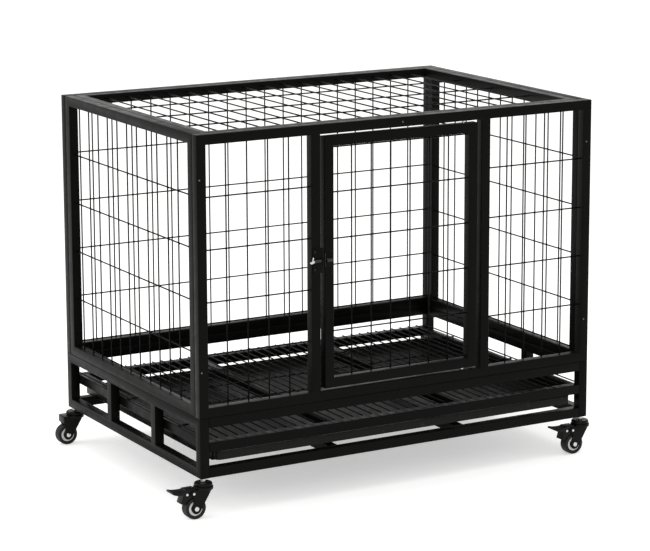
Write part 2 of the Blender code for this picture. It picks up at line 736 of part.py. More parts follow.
def cheek_outline(braked):
    """Side view of a fork cheek: from the housing down to the axle. A braked one has an ear for the pedal's
    pivot, and a plain one runs up to the crown plate."""
    crown = -HOUSING_TOP_DROP - HOUSING_HEIGHT + WELD_OVERLAP
    axle = (-WHEEL_TRAIL, -AXLE_DROP)
    boss = arc(axle, FORK_BOSS_RADIUS, math.radians(-30), math.radians(-190), 8)
    waist = (CHEEK_WAIST_X, -AXLE_DROP + CHEEK_WAIST_RISE)
    if braked:
        ear = PEDAL_BOSS_RADIUS + FORK_SHEET
        back = arc((PEDAL_PIVOT_X, -PEDAL_PIVOT_DROP), ear, math.radians(245), math.radians(95), 5)
    else:
        back = [(CHEEK_BACK_X, waist[1] + CROWN_LIP_HEIGHT / 2), (CHEEK_BACK_X, -CROWN_PLATE_DROP - FORK_SHEET / 2)]
    return [(CHEEK_FRONT_X, crown), *boss, waist, *back, (-HOUSING_RADIUS / 2, crown)]


def add_fork_cheeks(fork, braked):
    for side in (-1, 1):
        cheek = bmesh.new()
        inner = side * FORK_GAP / 2
        outer = side * (FORK_GAP / 2 + FORK_SHEET)
        add_outline(cheek, cheek_outline(braked), inner, outer)
        combine(fork, cheek, "UNION")
    add_fork_bore(fork, -WHEEL_TRAIL, AXLE_DROP, AXLE_RADIUS + FIT, STEM_STEPS)


def add_fork_bore(fork, x, drop, radius, steps):
    half = FORK_GAP / 2 + 2 * FORK_SHEET
    bore = bmesh.new()
    add_rod(bore, (x, -half, -drop), (x, half, -drop), radius, steps)
    combine(fork, bore, "DIFFERENCE")


def add_crown_plate(fork):
    """The plate over the wheel of a caster without a brake, with its end folded down."""
    top = -CROWN_PLATE_DROP
    fold = CROWN_PLATE_REACH - FORK_SHEET
    section = [
        (-HOUSING_CAP_RADIUS / 2, top),
        (-CROWN_PLATE_REACH + FORK_SHEET / 2, top),
        (-CROWN_PLATE_REACH, top - FORK_SHEET / 2),
        (-CROWN_PLATE_REACH, top - CROWN_LIP_HEIGHT),
        (-fold, top - CROWN_LIP_HEIGHT),
        (-fold, top - FORK_SHEET),
        (-HOUSING_CAP_RADIUS / 2, top - FORK_SHEET),
    ]
    plate = bmesh.new()
    add_outline(plate, section, -CROWN_PLATE_WIDTH / 2, CROWN_PLATE_WIDTH / 2)
    combine(fork, plate, "UNION")


def rim_shape():
    """The wheel's hub, web and rim."""
    shape = bmesh.new()
    half = RIM_WIDTH / 2
    hub = FORK_GAP / 2 - FIT
    outer = TYRE_INNER_RADIUS - FIT
    bore = AXLE_RADIUS + FIT
    web = half * 0.6
    side = [(outer, half), (HUB_RADIUS + 0.003, web), (HUB_RADIUS, hub), (bore, hub)]
    profile = side + [(radius, -height) for radius, height in reversed(side)]
    add_turned(shape, profile, WHEEL_STEPS, about="Y", flat_down=True)
    return shape


def tyre_shape():
    """A tread ring with a flat crown and rounded shoulders."""
    shape = bmesh.new()
    half = TYRE_WIDTH / 2
    shoulder = WHEEL_RADIUS - 0.0013
    side = [(WHEEL_RADIUS, half * 0.85), (shoulder, half), (TYRE_INNER_RADIUS, half)]
    profile = side + [(radius, -height) for radius, height in reversed(side)]
    add_turned(shape, profile, WHEEL_STEPS, about="Y", flat_down=True)
    return shape


def axle_shape():
    shape = bmesh.new()
    cheek = FORK_GAP / 2 + FORK_SHEET + FIT
    profile = [
        (0, -cheek - AXLE_HEAD_THICKNESS),
        (AXLE_HEAD, -cheek - AXLE_HEAD_THICKNESS),
        (AXLE_HEAD, -cheek),
        (AXLE_RADIUS, -cheek),
        (AXLE_RADIUS, cheek),
        (AXLE_HEAD, cheek),
        (AXLE_HEAD, cheek + AXLE_HEAD_THICKNESS),
        (0, cheek + AXLE_HEAD_THICKNESS),
    ]
    add_turned(shape, profile, STEM_STEPS, about="Y")
    return shape


def brake_arm_outline():
    """Side view of the brake arm about its pivot. Its shoe's face is the tyre's own arc, a little larger,
    turned back by the press angle, so the whole face meets the tyre when the pedal is down."""
    axle = Vector((-WHEEL_TRAIL - PEDAL_PIVOT_X, -AXLE_DROP + PEDAL_PIVOT_DROP))
    pressed = arc(axle, WHEEL_RADIUS + BRAKE_CLEARANCE, BRAKE_SHOE_END, BRAKE_SHOE_START, 6)
    back = Matrix.Rotation(-PEDAL_PRESS_ANGLE, 2)
    shoe = [tuple(back @ Vector(point)) for point in pressed]
    boss = arc((0, 0), PEDAL_BOSS_RADIUS, math.radians(-60), math.radians(0), 3)
    top = PEDAL_TOP
    heel = (PEDAL_BOSS_RADIUS, top)
    shoulder = (-PEDAL_TREAD_START - PEDAL_PIVOT_X - BRAKE_ARM, top)
    toe = (shoe[0][0] - BRAKE_ARM, shoe[0][1] + BRAKE_ARM / 4)
    knee = (toe[0] + BRAKE_ARM * 0.8, -PEDAL_TREAD_THICKNESS + top)
    return [*boss, heel, shoulder, knee, toe, *shoe]


def add_pedal_tread(pedal):
    """The foot plate: it widens from the arm, dips in the middle and rises to a lip."""
    start = -PEDAL_TREAD_START - PEDAL_PIVOT_X
    length = PEDAL_REACH - PEDAL_TREAD_START
    narrow = PEDAL_WIDTH / 2 - FIT
    loops = []
    for k in range(PEDAL_TREAD_STEPS + 1):
        share = k / PEDAL_TREAD_STEPS
        x = start - length * share
        half = min(narrow + (PEDAL_TREAD_WIDTH - PEDAL_WIDTH) * share, PEDAL_TREAD_WIDTH / 2)
        high = PEDAL_TOP - FIT - PEDAL_TREAD_DIP * math.sin(math.pi * share)
        low = high - PEDAL_TREAD_THICKNESS * (1 - share**8 / 3)
        loops.append([Vector((x, y, z)) for y, z in ((-half, low), (half, low), (half, high), (-half, high))])
    tread = bmesh.new()
    add_loops(tread, loops, closed=False)
    combine(pedal, tread, "UNION")


def add_pedal_pin(pedal):
    """The pivot pin is pressed through the pedal's boss and turns in the two cheeks."""
    half = FORK_GAP / 2 + FORK_SHEET
    pin = bmesh.new()
    add_rod(pin, (0, -half, 0), (0, half, 0), PEDAL_PIN_RADIUS, PIN_STEPS)
    combine(pedal, pin, "UNION")


def make_brake(corner, fork, swivel):
    """The pedal with its arm, shoe and pivot pin, between the cheeks of a braked fork."""
    add_fork_bore(fork, PEDAL_PIVOT_X, PEDAL_PIVOT_DROP, PEDAL_PIN_RADIUS + FIT, PIN_STEPS)
    arm = bmesh.new()
    add_outline(arm, brake_arm_outline(), -PEDAL_WIDTH / 2, PEDAL_WIDTH / 2)
    pivot = (PEDAL_PIVOT_X, 0, -PEDAL_PIVOT_DROP)
    pedal = add_object(f"{corner}_brake_pedal", arm, BLACK_PLASTIC, pivot, swivel)
    add_pedal_tread(pedal)
    add_pedal_pin(pedal)


def make_caster(corner, x, y, braked):
    """One caster: its stem in the post, and the swivel that carries the wheel and any pedal."""
    swivel = bpy.data.objects.new(f"{corner}_swivel", None)
    swivel.location = (x, y, 0)
    swivel.parent = frame_origin
    bpy.context.collection.objects.link(swivel)
    stem = add_object(f"{corner}_caster_stem", stem_shape(), ZINC, (0, 0, 0), swivel)
    combine(stem, nut_shape(), "UNION")
    fork = add_object(f"{corner}_caster_fork", housing_shape(), STEEL, (0, 0, 0), swivel)
    add_fork_cheeks(fork, braked)
    wheel_place = (-WHEEL_TRAIL, 0, -AXLE_DROP)
    add_object(f"{corner}_wheel_rim", rim_shape(), WHITE_PLASTIC, wheel_place, swivel)
    add_object(f"{corner}_tyre", tyre_shape(), TREAD, wheel_place, swivel)
    add_object(f"{corner}_axle", axle_shape(), ZINC, wheel_place, swivel)
    if braked:
        make_brake(corner, fork, swivel)
    else:
        add_crown_plate(fork)


make_base()
make_floor()
make_tray()
make_front_wall()
make_back_wall()
make_side_walls()
make_top()
make_latch(make_door())
for corner_name, corner_x, corner_y, has_brake in (
    ("front_left", -POST_X, -POST_Y, True),
    ("front_right", POST_X, -POST_Y, True),
    ("back_left", -POST_X, POST_Y, False),
    ("back_right", POST_X, POST_Y, False),
):
    make_caster(corner_name, corner_x, corner_y, has_brake)
apply_booleans()
shade_round_sides()
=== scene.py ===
import math

import bpy
from mathutils import Matrix, Quaternion, Vector


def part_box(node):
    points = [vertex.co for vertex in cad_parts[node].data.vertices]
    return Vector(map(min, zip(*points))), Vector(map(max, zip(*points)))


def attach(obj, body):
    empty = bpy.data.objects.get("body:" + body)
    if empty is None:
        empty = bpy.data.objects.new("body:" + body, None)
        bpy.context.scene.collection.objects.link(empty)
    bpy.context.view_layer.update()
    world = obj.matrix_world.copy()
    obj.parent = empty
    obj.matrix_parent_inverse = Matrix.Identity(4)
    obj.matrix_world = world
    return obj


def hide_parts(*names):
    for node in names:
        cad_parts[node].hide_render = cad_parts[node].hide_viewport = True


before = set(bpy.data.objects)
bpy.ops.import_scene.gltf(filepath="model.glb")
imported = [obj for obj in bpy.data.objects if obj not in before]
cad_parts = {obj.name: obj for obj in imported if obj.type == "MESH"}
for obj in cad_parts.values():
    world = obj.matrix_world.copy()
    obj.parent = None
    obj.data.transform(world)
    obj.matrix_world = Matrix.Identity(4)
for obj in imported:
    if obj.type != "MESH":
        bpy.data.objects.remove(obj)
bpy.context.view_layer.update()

scene = bpy.context.scene

# Photo studio: the cage stands on a pale seamless floor in a white room. Large soft lamps hang to its left,
# over it and before it, and its front faces stay the darkest. The camera looks down a little, and its
# picture is shifted a little, as in a photograph that was cropped.
FLOOR_SIZE = 60.0
FLOOR_GREY = (0.82, 0.82, 0.81, 1)
FLOOR_ROUGHNESS = 0.9
FLOOR_GLOW = 0.48
ROOM_LIGHT = 0.78
BACKDROP_LIGHT = 1.0
WHITE = (1, 1, 1, 1)
LAMP_TARGET = Vector((0, 0, 0.45))
SENSOR_WIDTH = 36
CAMERA_PLACE = Vector((-2.9591, -5.2604, 1.7521))
CAMERA_AZIMUTH = math.radians(30.076)
CAMERA_ELEVATION = math.radians(11.178)
CAMERA_ROLL = math.radians(-0.103)
CAMERA_LENS = 140.76
CAMERA_SHIFT = (-0.0308, -0.0769)


def deselect_all():
    """Leaves edit mode and deselects every object."""
    if bpy.context.object and bpy.context.object.mode != "OBJECT":
        bpy.ops.object.mode_set(mode="OBJECT")
    bpy.ops.object.select_all(action="DESELECT")


deselect_all()
bpy.ops.mesh.primitive_plane_add(size=FLOOR_SIZE)
floor = bpy.context.object
floor.name = "floor"


def seen_or_mirrored(tree):
    """One for rays that the camera, a shiny or a clear surface sends, and zero for the soft light."""
    path = tree.nodes.new("ShaderNodeLightPath")
    shiny = tree.nodes.new("ShaderNodeMath")
    shiny.operation = "MAXIMUM"
    either = tree.nodes.new("ShaderNodeMath")
    either.operation = "MAXIMUM"
    tree.links.new(path.outputs["Is Glossy Ray"], shiny.inputs[0])
    tree.links.new(path.outputs["Is Transmission Ray"], shiny.inputs[1])
    tree.links.new(path.outputs["Is Camera Ray"], either.inputs[0])
    tree.links.new(shiny.outputs["Value"], either.inputs[1])
    return either.outputs["Value"]


floor_paint = bpy.data.materials.new("pale_floor")
floor_paint.use_nodes = True
floor_nodes = floor_paint.node_tree.nodes
floor_links = floor_paint.node_tree.links
floor_surface = floor_nodes["Principled BSDF"]
floor_surface.inputs["Base Color"].default_value = FLOOR_GREY
floor_surface.inputs["Roughness"].default_value = FLOOR_ROUGHNESS
floor_surface.inputs["Emission Color"].default_value = WHITE
floor_glow = floor_nodes.new("ShaderNodeMath")
floor_glow.operation = "MULTIPLY"
floor_glow.inputs[1].default_value = FLOOR_GLOW
floor_links.new(seen_or_mirrored(floor_paint.node_tree), floor_glow.inputs[0])
floor_links.new(floor_glow.outputs["Value"], floor_surface.inputs["Emission Strength"])
floor.data.materials.append(floor_paint)

world = bpy.data.worlds.new("studio")
scene.world = world
world.use_nodes = True
world_nodes = world.node_tree.nodes
world_links = world.node_tree.links
room = world_nodes["Background"]
room.inputs["Color"].default_value = WHITE
room.inputs["Strength"].default_value = ROOM_LIGHT
backdrop = world_nodes.new("ShaderNodeBackground")
backdrop.inputs["Color"].default_value = WHITE
backdrop.inputs["Strength"].default_value = BACKDROP_LIGHT
sky_choice = world_nodes.new("ShaderNodeMixShader")
world_links.new(seen_or_mirrored(world.node_tree), sky_choice.inputs["Fac"])
world_links.new(room.outputs["Background"], sky_choice.inputs[1])
world_links.new(backdrop.outputs["Background"], sky_choice.inputs[2])
world_links.new(sky_choice.outputs["Shader"], world_nodes["World Output"].inputs["Surface"])

for lamp_name, place, size, power in (
    ("left_softbox", (-3.2, 1.0, 2.2), 2.4, 45),
    ("top_softbox", (0.4, -0.2, 3.6), 2.6, 30),
    ("front_softbox", (-1.6, -3.6, 2.2), 1.6, 22),
):
    lamp_data = bpy.data.lights.new(lamp_name, "AREA")
    lamp_data.shape = "SQUARE"
    lamp_data.size = size
    lamp_data.energy = power
    lamp = bpy.data.objects.new(lamp_name, lamp_data)
    lamp.location = place
    lamp.rotation_euler = (LAMP_TARGET - Vector(place)).to_track_quat("-Z", "Y").to_euler()
    scene.collection.objects.link(lamp)

camera_data = bpy.data.cameras.new("camera")
camera_data.sensor_width = SENSOR_WIDTH
camera_data.lens = CAMERA_LENS
camera_data.shift_x, camera_data.shift_y = CAMERA_SHIFT
camera = bpy.data.objects.new("camera", camera_data)
scene.collection.objects.link(camera)
camera.location = CAMERA_PLACE
view_line = Vector((
    math.sin(CAMERA_AZIMUTH) * math.cos(CAMERA_ELEVATION),
    math.cos(CAMERA_AZIMUTH) * math.cos(CAMERA_ELEVATION),
    -math.sin(CAMERA_ELEVATION),
))
camera.rotation_euler = (view_line.to_track_quat("-Z", "Y") @ Quaternion((0, 0, 1), CAMERA_ROLL)).to_euler()
scene.camera = camera
scene.view_settings.view_transform = "Standard"


# Tube frames: square steel tube of 23 mm, mitred or butted and welded, ground flush and powder coated in
# semi-gloss black. They and the tray's bent sheet guides keep their solids' places and get rounded edges.
TUBE = 0.023
TUBE_ROUNDING = 0.0005
COAT_BLACK = (0.0022, 0.0022, 0.0020)
COAT_FADED = (0.0042, 0.0042, 0.0038)
COAT_WORN = (0.008, 0.008, 0.007)
COAT_SHINE = 0.047
DRIFT_SCALE = 9
SMEAR_SCALE = 38
NOISE_LOW = 0.3
NOISE_HIGH = 0.7
SPECK_START = 0.72
SPECK_FULL = 0.80
MERGE_DISTANCE = 0.00001
FLAT_ANGLE = 0.5
SMOOTH_ANGLE = 28


def new_finish(
    name, colour, second_colour, roughness, spread, grain_size, grain_height, metallic=0.0, shine=0.5
):
    """A finish whose colour and gloss drift over the surface, with a fine grain that stands up from it."""
    finish = bpy.data.materials.new(name)
    finish.use_nodes = True
    nodes = finish.node_tree.nodes
    links = finish.node_tree.links
    surface = nodes["Principled BSDF"]
    surface.inputs["Metallic"].default_value = metallic
    surface.inputs["Specular IOR Level"].default_value = shine
    place = nodes.new("ShaderNodeTexCoord")
    drift = nodes.new("ShaderNodeTexNoise")
    drift.inputs["Scale"].default_value = DRIFT_SCALE
    drift.inputs["Detail"].default_value = 6
    tint = nodes.new("ShaderNodeMix")
    tint.data_type = "RGBA"
    tint.inputs["A"].default_value = (*colour, 1)
    tint.inputs["B"].default_value = (*second_colour, 1)
    gloss = nodes.new("ShaderNodeMapRange")
    gloss.inputs["From Min"].default_value = NOISE_LOW
    gloss.inputs["From Max"].default_value = NOISE_HIGH
    gloss.inputs["To Min"].default_value = roughness - spread
    gloss.inputs["To Max"].default_value = roughness + spread
    smear = nodes.new("ShaderNodeTexNoise")
    smear.inputs["Scale"].default_value = SMEAR_SCALE
    smear.inputs["Detail"].default_value = 4
    grain = nodes.new("ShaderNodeTexNoise")
    grain.inputs["Scale"].default_value = 1 / grain_size
    grain.inputs["Detail"].default_value = 2
    bump = nodes.new("ShaderNodeBump")
    bump.inputs["Strength"].default_value = 1.0
    bump.inputs["Distance"].default_value = grain_height
    for texture in (drift, smear, grain):
        links.new(place.outputs["Object"], texture.inputs["Vector"])
    links.new(drift.outputs["Fac"], tint.inputs["Factor"])
    links.new(tint.outputs["Result"], surface.inputs["Base Color"])
    links.new(smear.outputs["Fac"], gloss.inputs["Value"])
    links.new(gloss.outputs["Result"], surface.inputs["Roughness"])
    links.new(grain.outputs["Fac"], bump.inputs["Height"])
    links.new(bump.outputs["Normal"], surface.inputs["Normal"])
    return finish


def add_specks(finish, size, amount, colour):
    """Small rubbed spots or dust, where a coarse noise runs high, over the finish's own colour."""
    nodes = finish.node_tree.nodes
    links = finish.node_tree.links
    surface = nodes["Principled BSDF"]
    base = surface.inputs["Base Color"].links[0].from_socket
    place = nodes.new("ShaderNodeTexCoord")
    spots = nodes.new("ShaderNodeTexNoise")
    spots.inputs["Scale"].default_value = 1 / size
    spots.inputs["Detail"].default_value = 3
    mask = nodes.new("ShaderNodeMapRange")
    mask.inputs["From Min"].default_value = SPECK_START - amount
    mask.inputs["From Max"].default_value = SPECK_FULL - amount
    rubbed = nodes.new("ShaderNodeMix")
    rubbed.data_type = "RGBA"
    rubbed.inputs["B"].default_value = (*colour, 1)
    links.new(place.outputs["Object"], spots.inputs["Vector"])
    links.new(spots.outputs["Fac"], mask.inputs["Value"])
    links.new(mask.outputs["Result"], rubbed.inputs["Factor"])
    links.new(base, rubbed.inputs["A"])
    links.new(rubbed.outputs["Result"], surface.inputs["Base Color"])


coated_steel = new_finish(
    "black_powder_coat", COAT_BLACK, COAT_FADED,
    roughness=0.32, spread=0.08, grain_size=0.0016, grain_height=0.00005, shine=COAT_SHINE,
)
add_specks(coated_steel, size=0.004, amount=0.0, colour=COAT_WORN)


def select_only(piece):
    """Selects one piece, and no other, for the next step."""
    deselect_all()
    piece.select_set(True)
    bpy.context.view_layer.objects.active = piece


def settle(piece):
    """Moves the piece's place, turn and size into its mesh and leaves its origin at the frame's."""
    select_only(piece)
    bpy.ops.object.transform_apply(location=True, rotation=True, scale=True)


def seat(piece, name, body, finish, replaced=()):
    """Names a finished piece and says its finish, the body that it rides on and the nodes it stands for."""
    piece.name = name
    piece.data.materials.clear()
    piece.data.materials.append(finish)
    settle(piece)
    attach(piece, body)
    if replaced:
        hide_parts(*replaced)


def round_edges(piece, width, segments=3, angle=30):
    """Rounds every edge sharper than the angle, and shades what is left smooth."""
    select_only(piece)
    rounding = piece.modifiers.new("rounding", "BEVEL")
    rounding.width = width
    rounding.segments = segments
    rounding.limit_method = "ANGLE"
    rounding.angle_limit = math.radians(angle)
    bpy.ops.object.modifier_apply(modifier=rounding.name)
    bpy.ops.object.shade_smooth_by_angle(angle=math.radians(SMOOTH_ANGLE))


def copy_solid(node):
    """A copy of a frame solid with its loose triangles merged into whole faces."""
    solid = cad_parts[node]
    piece = bpy.data.objects.new(f"{node}_copy", solid.data.copy())
    scene.collection.objects.link(piece)
    select_only(piece)
    bpy.ops.object.mode_set(mode="EDIT")
    bpy.ops.mesh.select_all(action="SELECT")
    bpy.ops.mesh.remove_doubles(threshold=MERGE_DISTANCE)
    bpy.ops.mesh.dissolve_limited(angle_limit=math.radians(FLAT_ANGLE))
    bpy.ops.object.mode_set(mode="OBJECT")
    return piece


TUBE_FRAMES = {
    "cage": (
        "base_left_end_frame", "base_right_end_frame",
        "base_front_bottom_rail", "base_front_mid_rail", "base_front_top_rail",
        "base_back_bottom_rail", "base_back_mid_rail", "base_back_top_rail",
        "base_left_mid_rail", "base_right_mid_rail",
        "left_floor_bar", "right_floor_bar", "left_runner", "right_runner",
        "left_tray_guide", "right_tray_guide",
        "front_frame", "back_frame", "left_frame", "right_frame", "top_frame",
    ),
    "door": ("door_frame",),
}
for body, nodes in TUBE_FRAMES.items():
    for node in nodes:
        tube = copy_solid(node)
        round_edges(tube, TUBE_ROUNDING)
        seat(tube, f"{node}_tubes", body, coated_steel, (node,))


# Wire walls: 3.5 mm wire, spot welded where it crosses and welded to the tubes at its ends, then coated with
# the frames. Upright wires lie on the outer side of each wall, cross wires behind them. Some walls have a
# last cross wire close to the tube.
WIRE = 0.0035
WIRE_STEP = 0.00145
WIRE_FIT = 0.0003
WIRE_SIDES = 12
WIRE_END_ROUNDING = WIRE / 2 * 0.3
WELD_RADIUS = WIRE * 0.55
WELD_SPREAD = 1.3
WELD_HEIGHT = 0.75
END_WIRE_INSET = 0.004
SIDE_WIRE_SHIFT = 0.015
X, Y, Z = 0, 1, 2
ACROSS = {(X, Z): Y, (Y, Z): X, (X, Y): Z}


def repeat(piece, axis, pitch, count):
    """A row of copies of the piece along an axis."""
    select_only(piece)
    row = piece.modifiers.new("row", "ARRAY")
    row.use_relative_offset = False
    row.use_constant_offset = True
    row.constant_offset_displace = [pitch if k == axis else 0 for k in range(3)]
    row.count = count
    bpy.ops.object.modifier_apply(modifier=row.name)


def add_wire(start, end):
    """A drawn wire from one point to another, with its ends slightly rounded."""
    start = Vector(start)
    end = Vector(end)
    deselect_all()
    bpy.ops.mesh.primitive_cylinder_add(
        vertices=WIRE_SIDES,
        radius=WIRE / 2,
        depth=(end - start).length,
        location=(start + end) / 2,
        rotation=(end - start).to_track_quat("Z", "Y").to_euler(),
    )
    wire = bpy.context.object
    settle(wire)
    bpy.ops.object.mode_set(mode="EDIT")
    bpy.ops.mesh.select_all(action="DESELECT")
    bpy.ops.object.mode_set(mode="OBJECT")
    for face in wire.data.polygons:
        face.select = len(face.vertices) == WIRE_SIDES
    bpy.ops.object.mode_set(mode="EDIT")
    bpy.ops.mesh.bevel(offset=WIRE_END_ROUNDING, segments=1, affect="EDGES")
    bpy.ops.object.mode_set(mode="OBJECT")
    bpy.ops.object.shade_smooth_by_angle(angle=math.radians(40))
    return wire


def add_weld(place, radius, flatten):
    """A flattened weld nugget; flatten gives its size along X, Y and Z."""
    deselect_all()
    bpy.ops.mesh.primitive_ico_sphere_add(subdivisions=2, radius=radius, location=place, scale=flatten)
    weld = bpy.context.object
    settle(weld)
    bpy.ops.object.shade_smooth()
    return weld


def join(parts):
    """Joins the parts into the first one."""
    deselect_all()
    for part in parts:
        part.select_set(True)
    bpy.context.view_layer.objects.active = parts[0]
    bpy.ops.object.join()
    return parts[0]


def welded_wall(node, body, plane, uprights, crossings, outward, shift=0.0, low_end=False, high_end=False):
    """The wires of one wall. Its uprights and crossings divide the opening evenly, and shift moves the
    uprights. low_end and high_end add a cross wire close to that end."""
    low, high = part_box(node)
    along, up = plane
    across = ACROSS[plane]
    middle = (low + high) / 2
    gap_along = (high[along] - low[along] + 2 * WIRE_FIT) / (uprights + 1)
    gap_up = (high[up] - low[up] + 2 * WIRE_FIT) / (crossings + 1)

    def point(place_along, place_up, place_across):
        """A point by its places along and up the wall, and by how far it is from the wall's middle."""
        place = Vector((0, 0, 0))
        place[along] = place_along
        place[up] = place_up
        place[across] = middle[across] + place_across
        return place

    outer = outward * WIRE_STEP
    first_along = low[along] - WIRE_FIT + gap_along + shift
    first_up = low[up] - WIRE_FIT + gap_up
    upright = add_wire(point(first_along, low[up], outer), point(first_along, high[up], outer))
    repeat(upright, along, gap_along, uprights)
    crossing = add_wire(point(low[along], first_up, -outer), point(high[along], first_up, -outer))
    repeat(crossing, up, gap_up, crossings)
    flatten = [WELD_SPREAD] * 3
    flatten[across] = WELD_HEIGHT
    nuggets = add_weld(point(first_along, first_up, 0), WELD_RADIUS, flatten)
    repeat(nuggets, along, gap_along, uprights)
    repeat(nuggets, up, gap_up, crossings)
    parts = [upright, crossing, nuggets]
    end_places = []
    if low_end:
        end_places.append(low[up] - WIRE_FIT + END_WIRE_INSET)
    if high_end:
        end_places.append(high[up] + WIRE_FIT - END_WIRE_INSET)
    for end_up in end_places:
        parts.append(add_wire(point(low[along], end_up, -outer), point(high[along], end_up, -outer)))
        ends = add_weld(point(first_along, end_up, 0), WELD_RADIUS, flatten)
        repeat(ends, along, gap_along, uprights)
        parts.append(ends)
    wall = join(parts)
    seat(wall, f"{node}_wires", body, coated_steel, (node,))


welded_wall("front_left_grid", "cage", (X, Z), 4, 4, -1)
welded_wall("front_right_grid", "cage", (X, Z), 4, 4, -1)
welded_wall("back_grid", "cage", (X, Z), 18, 4, 1, low_end=True)
welded_wall("left_grid", "cage", (Y, Z), 11, 4, -1, shift=SIDE_WIRE_SHIFT, low_end=True)
welded_wall("right_grid", "cage", (Y, Z), 11, 4, 1, shift=SIDE_WIRE_SHIFT, low_end=True)
welded_wall("top_grid", "cage", (X, Y), 17, 3, 1)
welded_wall("door_grid", "door", (X, Z), 6, 4, -1, low_end=True, high_end=True)


# Wire floor: close 3.5 mm wires from front to back, welded over four long wires. It lies loose on the
# side rails and the two floor bars, and its wires run a little way over the front and back rails.
FLOOR_WIRES = 41
FLOOR_LONG_WIRES = 4
FLOOR_SPAN = 0.679
FLOOR_WELD_RADIUS = WIRE * 0.5
FLOOR_WELD_SHAPE = (1.2, 1.2, 0.8)
floor_low, floor_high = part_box("floor_grate")
floor_middle = (floor_low.z + floor_high.z) / 2
outer_wire = floor_low.x + WIRE / 2
floor_pitch = (floor_high.x - floor_low.x - WIRE) / (FLOOR_WIRES - 1)
upper = floor_middle + WIRE_STEP
top_wires = add_wire((outer_wire, floor_low.y, upper), (outer_wire, floor_high.y, upper))
repeat(top_wires, X, floor_pitch, FLOOR_WIRES)
long_pitch = FLOOR_SPAN / (FLOOR_LONG_WIRES + 1)
first_long = (floor_low.y + floor_high.y - FLOOR_SPAN) / 2 + long_pitch
lower = floor_middle - WIRE_STEP
long_wires = add_wire((floor_low.x, first_long, lower), (floor_high.x, first_long, lower))
repeat(long_wires, Y, long_pitch, FLOOR_LONG_WIRES)
floor_welds = add_weld((outer_wire, first_long, floor_middle), FLOOR_WELD_RADIUS, FLOOR_WELD_SHAPE)
repeat(floor_welds, X, floor_pitch, FLOOR_WIRES)
repeat(floor_welds, Y, long_pitch, FLOOR_LONG_WIRES)
wire_floor = join([top_wires, long_wires, floor_welds])
seat(wire_floor, "wire_floor", "cage", coated_steel, ("floor_grate",))


# Tray: one sheet of steel, pressed up on four sides with round corners and coated grey-black. It slides out
# under the wire floor on two guides, and its coat is marked by what falls on it.
TRAY_WALL = 0.0015
TRAY_CORNER = 0.014
TRAY_BLACK = (0.0050, 0.0050, 0.0047)
TRAY_FADED = (0.0095, 0.0095, 0.0088)
TRAY_SPECKS = (0.020, 0.020, 0.018)
TRAY_ROUNDING = 0.0006
tray_coat = new_finish(
    "grey_tray_coat", TRAY_BLACK, TRAY_FADED,
    roughness=0.36, spread=0.08, grain_size=0.0022, grain_height=0.00005, shine=0.09,
)
add_specks(tray_coat, size=0.02, amount=0.08, colour=TRAY_SPECKS)
tray_low, tray_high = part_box("tray")


def select_faces(piece, wanted):
    """Selects the faces whose centre and normal the test wants, and goes into edit mode."""
    select_only(piece)
    bpy.ops.object.mode_set(mode="EDIT")
    bpy.ops.mesh.select_mode(type="FACE")
    bpy.ops.mesh.select_all(action="DESELECT")
    bpy.ops.object.mode_set(mode="OBJECT")
    for face in piece.data.polygons:
        face.select = wanted(face.center, face.normal)
    bpy.ops.object.mode_set(mode="EDIT")


def select_edges(piece, wanted):
    """Selects the edges whose two ends the test wants, and goes into edit mode."""
    select_only(piece)
    bpy.ops.object.mode_set(mode="EDIT")
    bpy.ops.mesh.select_mode(type="EDGE")
    bpy.ops.mesh.select_all(action="DESELECT")
    bpy.ops.object.mode_set(mode="OBJECT")
    points = piece.data.vertices
    for edge in piece.data.edges:
        edge.select = wanted(points[edge.vertices[0]].co, points[edge.vertices[1]].co)
    bpy.ops.object.mode_set(mode="EDIT")


def add_block(low, high):
    """A box between two corners."""
    low = Vector(low)
    high = Vector(high)
    deselect_all()
    bpy.ops.mesh.primitive_cube_add(size=1, location=(low + high) / 2, scale=high - low)
    block = bpy.context.object
    settle(block)
    return block


tray = add_block(tray_low, tray_high)
select_edges(tray, lambda a, b: abs(a.z - b.z) > TRAY_CORNER / 2)
bpy.ops.mesh.bevel(offset=TRAY_CORNER, segments=8, affect="EDGES")
select_faces(tray, lambda centre, normal: normal.z > 0.9)
bpy.ops.mesh.inset(thickness=TRAY_WALL)
sink = (0, 0, tray_low.z + TRAY_WALL - tray_high.z)
bpy.ops.mesh.extrude_region_move(TRANSFORM_OT_translate={"value": sink})
bpy.ops.object.mode_set(mode="OBJECT")
round_edges(tray, TRAY_ROUNDING, segments=2, angle=50)
seat(tray, "tray_sheet", "tray", tray_coat, ("tray",))


# Hinge pins: turned, zinc plated pins, fixed in the front wall's rails above and below the door. They run in
# the door's rails, and the lower one has a collar that the door stands on.
HINGE_PIN_RADIUS = 0.0033
HINGE_COLLAR_RADIUS = 0.0053
HINGE_COLLAR_HALF = 0.0022
ZINC_BRIGHT = (0.66, 0.66, 0.64)
ZINC_DULL = (0.50, 0.50, 0.48)
ZINC_SPECKS = (0.30, 0.29, 0.27)
DRAWN_MERGE_DISTANCE = 0.000002
zinc_plate = new_finish(
    "zinc_plate", ZINC_BRIGHT, ZINC_DULL,
    roughness=0.30, spread=0.10, grain_size=0.0009, grain_height=0.00003, metallic=1.0,
)
add_specks(zinc_plate, size=0.0015, amount=0.02, colour=ZINC_SPECKS)


